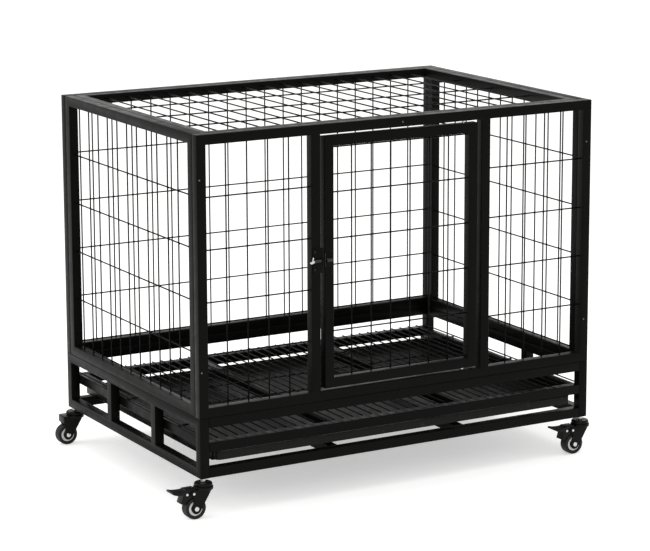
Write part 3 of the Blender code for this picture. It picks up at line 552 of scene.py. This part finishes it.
def drawn_line(name, corners):
    """A line from corner to corner, all of it selected in edit mode."""
    deselect_all()
    bpy.ops.mesh.primitive_plane_add(size=0.001)
    line = bpy.context.object
    line.name = name
    bpy.ops.object.mode_set(mode="EDIT")
    bpy.ops.mesh.select_mode(type="VERT")
    bpy.ops.mesh.select_all(action="SELECT")
    bpy.ops.mesh.merge(type="CENTER")
    bpy.ops.transform.translate(value=corners[0])
    for here, there in zip(corners, corners[1:]):
        bpy.ops.mesh.extrude_region_move(TRANSFORM_OT_translate={"value": there - here})
    bpy.ops.mesh.select_all(action="SELECT")
    return line


def turned(name, profile, steps, axis="Z"):
    """A form turned on a lathe, from pairs of radius and height along the axis."""
    along = Vector((0, 0, 1)) if axis == "Z" else Vector((0, 1, 0))
    blank = drawn_line(name, [Vector((radius, 0, 0)) + along * height for radius, height in profile])
    bpy.ops.mesh.spin(steps=steps, angle=math.tau, center=(0, 0, 0), axis=along)
    bpy.ops.mesh.select_all(action="SELECT")
    bpy.ops.mesh.remove_doubles(threshold=DRAWN_MERGE_DISTANCE)
    bpy.ops.mesh.normals_make_consistent(inside=False)
    bpy.ops.object.mode_set(mode="OBJECT")
    bpy.ops.object.shade_smooth_by_angle(angle=math.radians(35))
    return blank


for node in ("upper_hinge_pin", "lower_hinge_pin"):
    low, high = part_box(node)
    middle = (low + high) / 2
    edge = HINGE_PIN_RADIUS * 0.2
    profile = [(0, low.z), (HINGE_PIN_RADIUS - edge, low.z), (HINGE_PIN_RADIUS, low.z + edge)]
    if node == "lower_hinge_pin":
        profile += [
            (HINGE_PIN_RADIUS, middle.z - HINGE_COLLAR_HALF),
            (HINGE_COLLAR_RADIUS - edge, middle.z - HINGE_COLLAR_HALF),
            (HINGE_COLLAR_RADIUS, middle.z - HINGE_COLLAR_HALF + edge),
            (HINGE_COLLAR_RADIUS, middle.z + HINGE_COLLAR_HALF - edge),
            (HINGE_COLLAR_RADIUS - edge, middle.z + HINGE_COLLAR_HALF),
            (HINGE_PIN_RADIUS, middle.z + HINGE_COLLAR_HALF),
        ]
    profile += [(HINGE_PIN_RADIUS, high.z - edge), (HINGE_PIN_RADIUS - edge, high.z), (0, high.z)]
    pin = turned(f"{node}_turned", profile, steps=32)
    pin.data.transform(Matrix.Translation((middle.x, middle.y, 0)))
    seat(pin, f"{node}_turned", "cage", zinc_plate, (node,))


# Barrel bolt: a stamped plate and guide on the stile left of the door, and a keeper on the door with a
# lighter band where the bolt runs, rubbed wear and a painted highlight on its loop. The turned bolt is
# blackened. Its drooping handle and short lever are bare zinc.
LATCH_SHEET = 0.0015
BOLT_RADIUS = 0.0035
BOLT_HANDLE_RADIUS = 0.0030
BOLT_HANDLE_LENGTH = 0.010
BOLT_HANDLE_DROP = 0.004
BOLT_LEVER_RADIUS = 0.0016
BOLT_LEVER_X = -0.0295
BOLT_LEVER_TOP = (0.002, 0.0095)
KEEPER_RUB_AND_HIGHLIGHT = 0.007
STAMPING_ROUNDING = 0.00035
RUBBED_BLACK = (0.0050, 0.0050, 0.0046)
RUBBED_GREY = (0.0160, 0.0160, 0.0150)
RUBBED_SPECKS = (0.045, 0.044, 0.042)
rubbed_coat_and_highlight = new_finish(
    "rubbed_black_coat_and_highlight", RUBBED_BLACK, RUBBED_GREY,
    roughness=0.22, spread=0.08, grain_size=0.0012, grain_height=0.00004, shine=0.35,
)
add_specks(rubbed_coat_and_highlight, size=0.0012, amount=0.03, colour=RUBBED_SPECKS)
plate_low, plate_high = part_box("latch_plate")
bolt_low, bolt_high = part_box("latch_bolt")
bolt_y = bolt_low.y + BOLT_RADIUS
bolt_z = (plate_low.z + plate_high.z) / 2
latch_plate = copy_solid("latch_plate")
round_edges(latch_plate, STAMPING_ROUNDING, segments=2)
seat(latch_plate, "latch_plate_stamping", "cage", coated_steel, ("latch_plate",))
keeper = copy_solid("latch_keeper")
round_edges(keeper, STAMPING_ROUNDING, segments=2)
seat(keeper, "latch_keeper_stamping", "door", coated_steel, ("latch_keeper",))
# The keeper's faces in the band where the bolt runs take the lighter rubbed coat: wear, and a painted
# highlight on the keeper's loop.
keeper.data.materials.append(rubbed_coat_and_highlight)
for face in keeper.data.polygons:
    if abs(face.center.z - bolt_z) < KEEPER_RUB_AND_HIGHLIGHT / 2:
        face.material_index = 1
bolt_end = bolt_high.x
bolt_length = bolt_high.x - bolt_low.x
straight = bolt_length - BOLT_HANDLE_LENGTH


def turn_to(piece, start, end):
    """Lays a piece that was turned along Z from the origin so that it runs from start to end."""
    start = Vector(start)
    way = Vector(end) - start
    piece.data.transform(Matrix.Translation(start) @ way.to_track_quat("Z", "Y").to_matrix().to_4x4())


shank = turned("bolt_shank", [
    (0, 0), (0.0022, 0), (0.0031, 0.0006), (BOLT_RADIUS, 0.0018),
    (BOLT_RADIUS, straight - 0.0012), (0.0030, straight - 0.0004), (0.0026, straight), (0, straight),
], steps=40)
turn_to(shank, (bolt_end, bolt_y, bolt_z), (bolt_end - straight, bolt_y, bolt_z))
handle_start = Vector((bolt_end - straight + BOLT_HANDLE_RADIUS, bolt_y, bolt_z))
handle_end = Vector((bolt_end - bolt_length + 0.0004, bolt_y, bolt_z - BOLT_HANDLE_DROP))
handle_length = (handle_end - handle_start).length
handle = turned("bolt_handle", [
    (0, 0), (0.0026, 0.0003), (BOLT_HANDLE_RADIUS, 0.0012), (0.0028, handle_length * 0.5),
    (BOLT_HANDLE_RADIUS, handle_length - 0.0020), (0.0024, handle_length - 0.0008),
    (0.0012, handle_length - 0.0002), (0, handle_length),
], steps=32)
turn_to(handle, handle_start, handle_end)
lever_foot = Vector((bolt_end + BOLT_LEVER_X, bolt_y, bolt_z - BOLT_HANDLE_DROP / 2))
lever_top = Vector((bolt_end + BOLT_LEVER_X + BOLT_LEVER_TOP[0], bolt_y, bolt_z + BOLT_LEVER_TOP[1]))
lever_length = (lever_top - lever_foot).length
lever = turned("bolt_lever", [
    (0, 0), (0.0014, 0), (0.0014, lever_length - 0.0030), (BOLT_LEVER_RADIUS, lever_length - 0.0022),
    (BOLT_LEVER_RADIUS, lever_length - 0.0010), (0.0010, lever_length - 0.0002), (0, lever_length),
], steps=24)
turn_to(lever, lever_foot, lever_top)
seat(shank, "latch_bolt_shank", "bolt", rubbed_coat_and_highlight, ("latch_bolt",))
seat(join([handle, lever]), "latch_bolt_handle", "bolt", zinc_plate, ("latch_bolt",))


# Screws: small blackened steel button heads with a hex socket. They hold the front and back walls to the
# posts and the top. Two duller ones hold the latch plate to its stile, beside the bolt's handle.
LATCH_SCREW_INSET = 0.0055
LATCH_SCREW_RISE = 0.0205
SCREW_RADIUS = 0.0023
SCREW_HEIGHT = 0.0015
SCREW_SOCKET = 0.0012
LEFT_SCREW_INSET = 0.006
RIGHT_SCREW_INSET = 0.014
UPPER_SCREW_Z = 0.771
LOWER_SCREW_Z = 0.336
SCREW_GREY = (0.17, 0.17, 0.16)
SCREW_DARK = (0.10, 0.10, 0.095)
SCREW_SPECKS = (0.28, 0.27, 0.25)
screw_steel = new_finish(
    "blackened_screw_steel", SCREW_GREY, SCREW_DARK,
    roughness=0.30, spread=0.10, grain_size=0.0009, grain_height=0.00003, metallic=1.0,
)
add_specks(screw_steel, size=0.0012, amount=0.02, colour=SCREW_SPECKS)


def place_copy(master, shift, turn=0.0):
    """A copy of a master piece with its own mesh, turned about Z and then moved."""
    piece = master.copy()
    piece.data = master.data.copy()
    scene.collection.objects.link(piece)
    piece.data.transform(Matrix.Translation(shift) @ Matrix.Rotation(turn, 4, "Z"))
    return piece


screw_head = turned("screw_head", [
    (0, 0), (SCREW_RADIUS, 0), (SCREW_RADIUS, 0.0003), (0.0021, 0.0009), (0.0017, 0.0013),
    (0.0014, SCREW_HEIGHT), (SCREW_SOCKET, SCREW_HEIGHT), (SCREW_SOCKET, 0.0006), (0, 0.0005),
], steps=24)
screw_head.data.transform(Matrix.Rotation(math.pi / 2, 4, "X"))
front_low, front_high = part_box("front_frame")
back_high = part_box("back_frame")[1]
post_left = front_low.x + LEFT_SCREW_INSET
post_right = front_high.x - RIGHT_SCREW_INSET
screw_places = [
    (post_left, UPPER_SCREW_Z), (post_left, LOWER_SCREW_Z),
    (post_right, UPPER_SCREW_Z), (post_right, LOWER_SCREW_Z),
    ((front_low.x + front_high.x) / 2, front_high.z - TUBE / 2),
]
for number, (x, z) in enumerate(screw_places, 1):
    front_screw = place_copy(screw_head, (x, front_low.y, z))
    seat(front_screw, f"front_screw_{number}", "cage", screw_steel)
    back_screw = place_copy(screw_head, (x, back_high.y, z), math.pi)
    seat(back_screw, f"back_screw_{number}", "cage", screw_steel)
plate_face = plate_high.y - LATCH_SHEET
for number, rise in ((1, -LATCH_SCREW_RISE), (2, LATCH_SCREW_RISE)):
    latch_screw = place_copy(screw_head, (plate_low.x + LATCH_SCREW_INSET, plate_face, bolt_z + rise))
    seat(latch_screw, f"latch_screw_{number}", "cage", rubbed_coat_and_highlight)
bpy.data.objects.remove(screw_head)


# Caster stems: a threaded bolt holds each swivel caster under its post, with a washer and a nut between the
# tube and the bearing housing. Its lower end is riveted over inside the fork. All of it is zinc plated.
CASTER_HEIGHT = 0.091
HOUSING_TOP = -0.0085
NUT_BORE = 0.0041
NUT_RADIUS = 0.0062
NUT_EDGE = 0.0007
FRONT_CORNERS = ("front_left", "front_right")
BACK_CORNERS = ("back_left", "back_right")
caster_places = {}
for corner in FRONT_CORNERS + BACK_CORNERS:
    stem_low, stem_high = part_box(f"{corner}_caster_stem")
    centre = (stem_low + stem_high) / 2
    caster_places[corner] = (centre.x, centre.y, CASTER_HEIGHT)


def fit_casters(master, part, group, finish, node=None, corners=FRONT_CORNERS + BACK_CORNERS):
    """Seats a copy of the master at each corner, in place of that corner's node, and deletes the master."""
    for corner in corners:
        body = "cage" if group == "cage" else f"{corner}_{group}"
        replaced = (f"{corner}_{node}",) if node else ()
        piece = place_copy(master, caster_places[corner])
        seat(piece, f"{corner}_{part}", body, finish, replaced)
    bpy.data.objects.remove(master)


nut_low = HOUSING_TOP + 0.0005
nut_high = -0.0015
nut = turned("stem_nut", [
    (NUT_BORE, nut_low), (NUT_RADIUS - NUT_EDGE, nut_low), (NUT_RADIUS, nut_low + NUT_EDGE),
    (NUT_RADIUS, nut_high - NUT_EDGE), (NUT_RADIUS - NUT_EDGE, nut_high), (NUT_BORE, nut_high),
    (NUT_BORE, nut_low),
], steps=6)
washer = turned("stem_washer", [
    (NUT_BORE, -0.0013), (0.0072, -0.0013), (0.0075, -0.0010), (0.0075, -0.0005), (0.0072, -0.0003),
    (NUT_BORE, -0.0003), (NUT_BORE, -0.0013),
], steps=40)
stem = turned("stem_shank", [
    (0, 0.0245), (0.0036, 0.0245), (0.0040, 0.0240), (0.0040, -0.0253), (0.0066, -0.0253),
    (0.0070, -0.0258), (0.0066, -0.0270), (0.0045, -0.0278), (0, -0.0278),
], steps=32)
caster_bolt = join([stem, washer, nut])
fit_casters(caster_bolt, "caster_bolt", "cage", zinc_plate, "caster_stem")


# Caster housings: two pressed cups with a groove between them hold the balls of the swivel bearing. They are
# steel, coated black like the forks, a little glossier than the cage.
HOUSING_BOTTOM = -0.025
CASTER_DARK = (0.0022, 0.0022, 0.0022)
CASTER_FADED = (0.0044, 0.0044, 0.0041)
CASTER_SPECKS = (0.014, 0.014, 0.013)
caster_black = new_finish(
    "caster_black", CASTER_DARK, CASTER_FADED,
    roughness=0.26, spread=0.07, grain_size=0.0012, grain_height=0.00004, shine=0.09,
)
add_specks(caster_black, size=0.002, amount=0.01, colour=CASTER_SPECKS)


def curve_points(centre, radius, start, end, steps):
    """Points on an arc, from one angle to another in degrees."""
    angles = [math.radians(start + (end - start) * k / steps) for k in range(steps + 1)]
    return [(centre[0] + radius * math.cos(a), centre[1] + radius * math.sin(a)) for a in angles]


housing = turned("caster_housing", [
    (0.0043, HOUSING_TOP),
    (0.0092, HOUSING_TOP),
    (0.0098, HOUSING_TOP - 0.0006),
    (0.0160, HOUSING_TOP - 0.0006),
    *curve_points((0.0172, HOUSING_TOP - 0.0046), 0.0040, 90, 0, 8),
    (0.0212, HOUSING_TOP - 0.0070),
    (0.0208, HOUSING_TOP - 0.0075),
    (0.0196, HOUSING_TOP - 0.0079),
    (0.0196, HOUSING_TOP - 0.0091),
    (0.0222, HOUSING_TOP - 0.0095),
    (0.0230, HOUSING_TOP - 0.0104),
    (0.0230, HOUSING_BOTTOM + 0.0014),
    *curve_points((0.0216, HOUSING_BOTTOM + 0.0014), 0.0014, 0, -90, 4),
    (0.0043, HOUSING_BOTTOM),
    (0.0043, HOUSING_TOP),
], steps=64)
fit_casters(housing, "caster_housing", "swivel", caster_black, "caster_fork")


# Fork cheeks: pressed sheet steel, one each side of the wheel, with a washer under the axle's head. The
# front ones reach back to the brake's rivet. The back ones carry a folded crown plate over the wheel.
WHEEL_RADIUS = 0.0255
WHEEL_TRAIL = 0.024
AXLE_DROP = CASTER_HEIGHT - WHEEL_RADIUS
FORK_GAP = 0.025
FORK_SHEET = 0.0025
AXLE_WASHER = 0.0003
CHEEK_FRONT = 0.0167
CHEEK_BACK = -0.0330
CHEEK_ROUNDING = 0.0006
PIVOT = (-0.030, -0.030)
PIVOT_FACE = 0.0150
CROWN_HALF = 0.0165


def drawn_sheet(name, outline, low, high):
    """A flat sheet cut to an outline of X and Z, with its thickness from low to high along Y."""
    sheet = drawn_line(name, [Vector((x, low, z)) for x, z in outline])
    bpy.ops.mesh.edge_face_add()
    bpy.ops.mesh.extrude_region_move(TRANSFORM_OT_translate={"value": Vector((0, high - low, 0))})
    bpy.ops.mesh.select_all(action="SELECT")
    bpy.ops.mesh.normals_make_consistent(inside=False)
    bpy.ops.object.mode_set(mode="OBJECT")
    return sheet


cheek_crown = HOUSING_BOTTOM + 0.004
cheek_boss = curve_points((-WHEEL_TRAIL, -AXLE_DROP), 0.012, -30, -190, 20)
cheek_waist = (-0.0295, -AXLE_DROP + 0.0205)
braked_back = curve_points(PIVOT, 0.008, 245, 95, 12)
plain_back = [(CHEEK_BACK, cheek_waist[1] + 0.00875), (CHEEK_BACK, -0.01875)]


def caster_cheeks(name, back):
    """Both cheeks of a fork with their axle washers; back is the outline's part above the waist."""
    outline = [(CHEEK_FRONT, cheek_crown), *cheek_boss, cheek_waist, *back, (-0.0115, cheek_crown)]
    cheeks = []
    for side in (-1, 1):
        near = side * FORK_GAP / 2
        far = side * (FORK_GAP / 2 + FORK_SHEET)
        cheek = drawn_sheet(f"{name}_{side}", outline, min(near, far), max(near, far))
        round_edges(cheek, CHEEK_ROUNDING, angle=40)
        axle_washer = turned("axle_washer", [
            (0.0033, 0), (0.0064, 0), (0.0068, 0.0002), (0.0068, AXLE_WASHER), (0.0033, AXLE_WASHER),
            (0.0033, 0),
        ], axis="Y", steps=32)
        washer_face = far if side > 0 else far - AXLE_WASHER
        axle_washer.data.transform(Matrix.Translation((-WHEEL_TRAIL, washer_face, -AXLE_DROP)))
        cheeks += [cheek, axle_washer]
    return join(cheeks)


def rivet(name, place, face):
    """A rivet with two domed heads, whose undersides lie at the given distance from the middle."""
    head = [(0.0030, 0), (0.0030, 0.0005), (0.0026, 0.0010), (0.0017, 0.0014)]
    profile = [(0, face + 0.0015)]
    profile += [(radius, face + height) for radius, height in reversed(head)]
    profile += [(0.0019, face), (0.0019, -face)]
    profile += [(radius, -face - height) for radius, height in head]
    profile += [(0, -face - 0.0015)]
    pin = turned(name, profile, axis="Y", steps=32)
    pin.data.transform(Matrix.Translation((place[0], 0, place[1])))
    return pin


braked_cheeks = caster_cheeks("braked_cheek", braked_back)
fit_casters(
    braked_cheeks, "caster_cheeks", "swivel", caster_black, "caster_fork",
    FRONT_CORNERS,
)
pivot_rivet = rivet("pivot_rivet", PIVOT, PIVOT_FACE)
fit_casters(pivot_rivet, "pivot_rivet", "swivel", zinc_plate, corners=FRONT_CORNERS)
plain_cheeks = caster_cheeks("plain_cheek", plain_back)
fit_casters(
    plain_cheeks, "caster_cheeks", "swivel", caster_black, "caster_fork",
    BACK_CORNERS,
)
fold_outside = curve_points((-0.0335, -0.0200), 0.0025, 90, 180, 6)
fold_inside = curve_points((-0.0333, -0.0202), 0.0002, 180, 90, 2)
crown_plate = drawn_sheet("crown_plate", [
    (-0.0106, -0.0175), *fold_outside, (-0.0360, -0.0350), (-0.0335, -0.0350), *fold_inside,
    (-0.0106, -0.0200),
], -CROWN_HALF, CROWN_HALF)
round_edges(crown_plate, CHEEK_ROUNDING, angle=40)
fit_casters(
    crown_plate, "crown_plate", "swivel", caster_black, "caster_fork",
    BACK_CORNERS,
)


# Wheels: a rubber tyre on a ring of white plastic, with pressed-in hub caps of black plastic. The wheel turns
# on a zinc plated axle that is riveted over with a wide domed head at each side of the fork.
TYRE_BLACK = (0.0055, 0.0055, 0.0055)
TYRE_DUSTY = (0.011, 0.011, 0.010)
TYRE_SPECKS = (0.022, 0.021, 0.020)
RING_WHITE = (0.88, 0.88, 0.86)
RING_YELLOWED = (0.82, 0.82, 0.79)
RING_SPECKS = (0.42, 0.41, 0.38)
PLASTIC_BLACK = (0.0028, 0.0028, 0.0028)
PLASTIC_FADED = (0.0055, 0.0055, 0.0055)
tyre_rubber = new_finish(
    "tyre_rubber", TYRE_BLACK, TYRE_DUSTY,
    roughness=0.50, spread=0.10, grain_size=0.0009, grain_height=0.00008, shine=0.22,
)
add_specks(tyre_rubber, size=0.003, amount=0.05, colour=TYRE_SPECKS)
ring_plastic = new_finish(
    "ring_plastic", RING_WHITE, RING_YELLOWED,
    roughness=0.36, spread=0.06, grain_size=0.002, grain_height=0.00003,
)
add_specks(ring_plastic, size=0.003, amount=0.03, colour=RING_SPECKS)
pedal_plastic = new_finish(
    "pedal_plastic", PLASTIC_BLACK, PLASTIC_FADED,
    roughness=0.40, spread=0.08, grain_size=0.0006, grain_height=0.00006, shine=0.13,
)


def wheel_part(name, side_profile, steps):
    """A ring about the axle, turned from the profile of one side and its mirror image."""
    mirrored = [(radius, -height) for radius, height in reversed(side_profile)]
    part = turned(name, side_profile + mirrored + side_profile[:1], axis="Y", steps=steps)
    part.data.transform(Matrix.Translation((-WHEEL_TRAIL, 0, -AXLE_DROP)))
    return part


tyre = wheel_part("caster_tyre", [
    (0.0176, 0.0110), (0.0184, 0.0117), (0.0200, 0.01175), (0.0205, 0.0113), (0.0212, 0.0113),
    (0.0217, 0.01175), (0.0234, 0.0117), (0.0244, 0.0113), (0.0251, 0.0104), (0.0254, 0.0092),
    (0.0255, 0.0075), (0.0255, 0.0046), (0.0249, 0.0041), (0.0249, 0.0033), (0.0255, 0.0028),
], 72)
fit_casters(tyre, "wheel_tyre", "wheel", tyre_rubber, "tyre")
ring = wheel_part("caster_ring", [
    (0.0172, 0.0090), (0.0166, 0.0098), (0.0152, 0.0100), (0.0146, 0.0094), (0.0142, 0.0082),
    (0.0124, 0.0082), (0.0118, 0.0090), (0.0112, 0.0090),
], 64)
fit_casters(ring, "wheel_ring", "wheel", ring_plastic, "wheel_rim")
caps = wheel_part("caster_caps", [
    (0.0033, 0.0122), (0.0060, 0.0122), (0.0066, 0.0118), (0.0084, 0.0118), (0.0098, 0.0113),
    (0.0107, 0.0103), (0.0111, 0.0088),
], 56)
fit_casters(caps, "wheel_caps", "wheel", pedal_plastic, "wheel_rim")
axle_head = [
    (0.0055, 0), (0.0055, 0.0010), (0.0051, 0.0018), (0.0040, 0.0025), (0.0022, 0.0029), (0, 0.0030),
]
axle_face = FORK_GAP / 2 + FORK_SHEET + AXLE_WASHER
axle_profile = [(radius, axle_face + height) for radius, height in reversed(axle_head)]
axle_profile += [(0.0030, axle_face), (0.0030, -axle_face)]
axle_profile += [(radius, -axle_face - height) for radius, height in axle_head]
axle = turned("caster_axle", axle_profile, axis="Y", steps=40)
axle.data.transform(Matrix.Translation((-WHEEL_TRAIL, 0, -AXLE_DROP)))
fit_casters(axle, "wheel_axle", "swivel", zinc_plate, "axle")


# Brake pedals: black plastic mouldings on the front casters. Each turns on the rivet between the cheeks and
# has a shoe over the tyre, a tread with ribs across it and a second rivet through its boss.
PEDAL_ROUNDING = 0.0008
PEDAL_RIVET = (-0.0456, -0.030)
PEDAL_RIVET_FACE = 0.0120
TREAD_START = 0.040
TREAD_LENGTH = 0.044
TREAD_TOP = -0.0183
TREAD_DIP = 0.0034
TREAD_HALF_START = 0.0117
TREAD_WIDENING = 0.009
TREAD_HALF_END = 0.0165
RIB_SHARES = (0.30, 0.42, 0.54, 0.66, 0.78, 0.90)
RIB_RISE = 0.0007
RIB_DEPTH = 0.0025
RIB_HALF_THICKNESS = 0.0009
RIB_MARGIN = 0.0022
RIB_ROUNDING = 0.0005
for corner in FRONT_CORNERS:
    pedal = copy_solid(f"{corner}_brake_pedal")
    round_edges(pedal, PEDAL_ROUNDING, angle=40)
    seat(
        pedal, f"{corner}_pedal_moulding", f"{corner}_pedal", pedal_plastic,
        (f"{corner}_brake_pedal",),
    )
ribs = []
for share in RIB_SHARES:
    rib_x = -TREAD_START - TREAD_LENGTH * share
    rib_top = TREAD_TOP - TREAD_DIP * math.sin(math.pi * share) + RIB_RISE
    rib_half = min(TREAD_HALF_START + TREAD_WIDENING * share, TREAD_HALF_END) - RIB_MARGIN
    rib = add_block(
        (rib_x - RIB_HALF_THICKNESS, -rib_half, rib_top - RIB_DEPTH),
        (rib_x + RIB_HALF_THICKNESS, rib_half, rib_top),
    )
    round_edges(rib, RIB_ROUNDING)
    ribs.append(rib)
fit_casters(join(ribs), "pedal_ribs", "pedal", pedal_plastic, corners=FRONT_CORNERS)
pedal_rivet = rivet("pedal_rivet", PEDAL_RIVET, PEDAL_RIVET_FACE)
fit_casters(pedal_rivet, "pedal_rivet", "pedal", zinc_plate, corners=FRONT_CORNERS)
